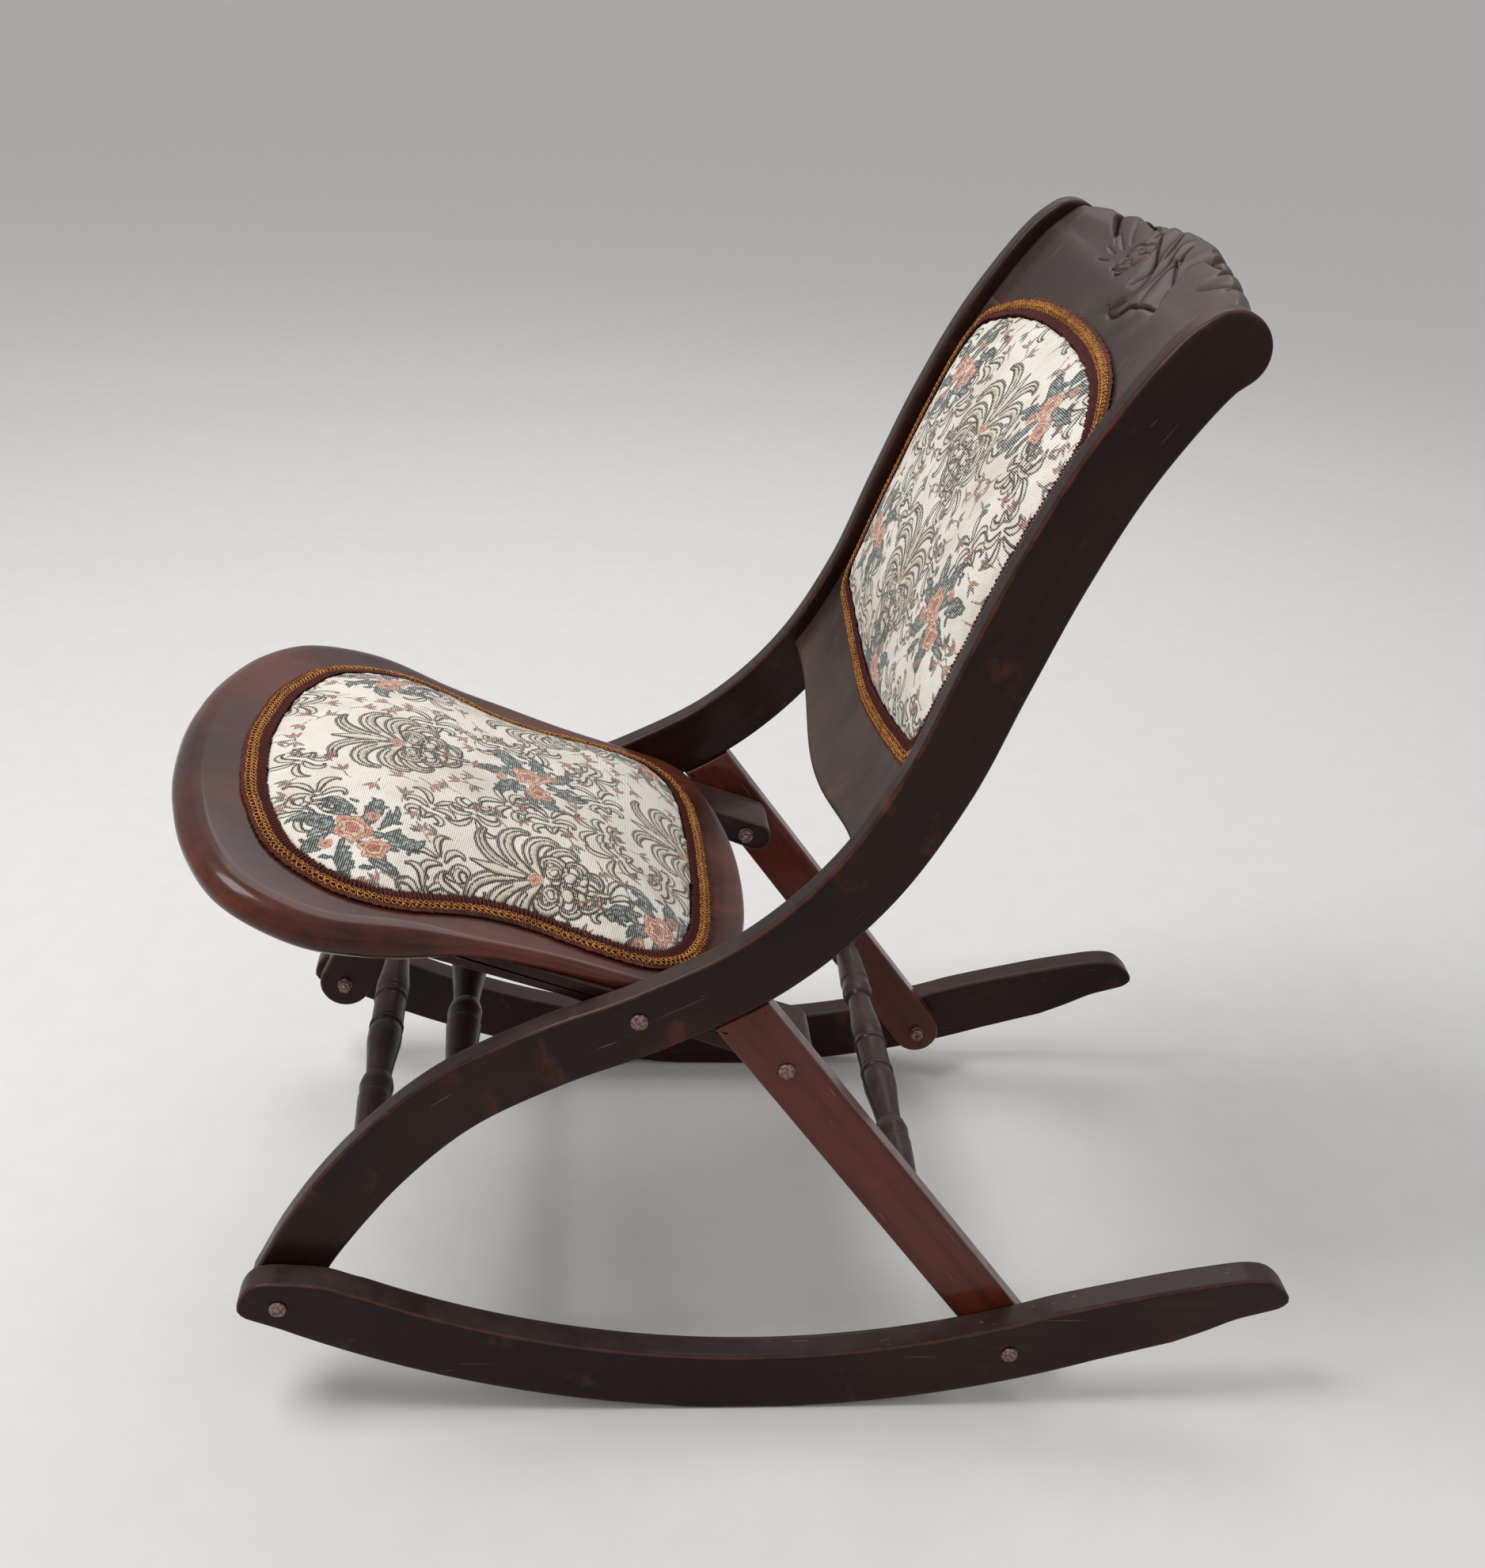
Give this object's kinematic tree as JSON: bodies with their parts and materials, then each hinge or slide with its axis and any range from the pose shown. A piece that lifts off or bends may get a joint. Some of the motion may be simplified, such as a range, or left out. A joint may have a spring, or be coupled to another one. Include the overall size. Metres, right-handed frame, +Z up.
{
  "type": "folding rocking chair",
  "caption": "Folding rocking chair with bent S-shaped side rails, rockers, short rear legs, turned stretchers, and a padded seat and back edged with braid.",
  "frame": {"origin": "on the floor, under the middle of the whole chair's box", "axes": "+Z up, the sitter faces -Y, and the sitter's left is +X"},
  "size_m": [0.483, 0.821, 0.8189],
  "materials": {
    "dark_wood": "satin",
    "red_wood": "satin",
    "iron": "matte",
    "tapestry": "matte",
    "braid": "matte"
  },
  "bodies": {
    "rockers": {"rocker_left": "dark_wood", "rocker_right": "dark_wood", "front_pivot_left_bolt": "iron", "front_pivot_left_washer": "iron", "front_pivot_left_nut": "iron", "front_pivot_right_bolt": "iron", "front_pivot_right_washer": "iron", "front_pivot_right_nut": "iron", "rear_pivot_left_bolt": "iron", "rear_pivot_right_bolt": "iron"},
    "back_frame": {"side_rail_left": "dark_wood", "side_rail_right": "dark_wood", "front_stretcher_lower": "dark_wood", "front_stretcher_upper": "dark_wood", "crest_rail": "dark_wood", "back_panel": "dark_wood", "lower_back_rail": "dark_wood", "back_pad": "tapestry", "back_gimp": "braid"},
    "seat": {"seat_board": "red_wood", "seat_arm_left": "dark_wood", "seat_arm_right": "dark_wood", "seat_pad": "tapestry", "seat_gimp": "braid", "seat_pivot_left_bolt": "iron", "seat_pivot_left_washer": "iron", "seat_pivot_left_nut": "iron", "leg_pivot_left_bolt": "iron", "leg_pivot_left_washer": "iron", "leg_pivot_left_nut": "iron", "seat_pivot_right_bolt": "iron", "seat_pivot_right_washer": "iron", "seat_pivot_right_nut": "iron", "leg_pivot_right_bolt": "iron", "leg_pivot_right_washer": "iron", "leg_pivot_right_nut": "iron"},
    "rear_legs": {"rear_leg_left": "red_wood", "rear_leg_right": "red_wood", "rear_stretcher": "dark_wood", "rear_pivot_left_washer": "iron", "rear_pivot_left_sleeve_nut": "iron", "rear_pivot_right_washer": "iron", "rear_pivot_right_sleeve_nut": "iron"}
  },
  "joints": [
    {"name": "fold", "type": "hinge", "parent": "rockers", "child": "back_frame", "pos_m": [0, -0.325, 0.09695], "axis": [1, 0, 0], "range_deg": [-37.44, 0]},
    {"name": "seat_fold", "type": "hinge", "parent": "back_frame", "child": "seat", "pos_m": [0, -0.078, 0.32195], "axis": [1, 0, 0], "range_deg": [-92.81, 0]},
    {"name": "leg_fold", "type": "hinge", "parent": "seat", "child": "rear_legs", "pos_m": [0, 0.02501, 0.28286], "axis": [1, 0, 0], "range_deg": [0, 178.24]}
  ],
  "couplings": [
    {"joint": "seat_fold", "follows": "fold", "ratio": 2.4788},
    {"joint": "leg_fold", "follows": "fold", "ratio": -4.761}
  ]
}
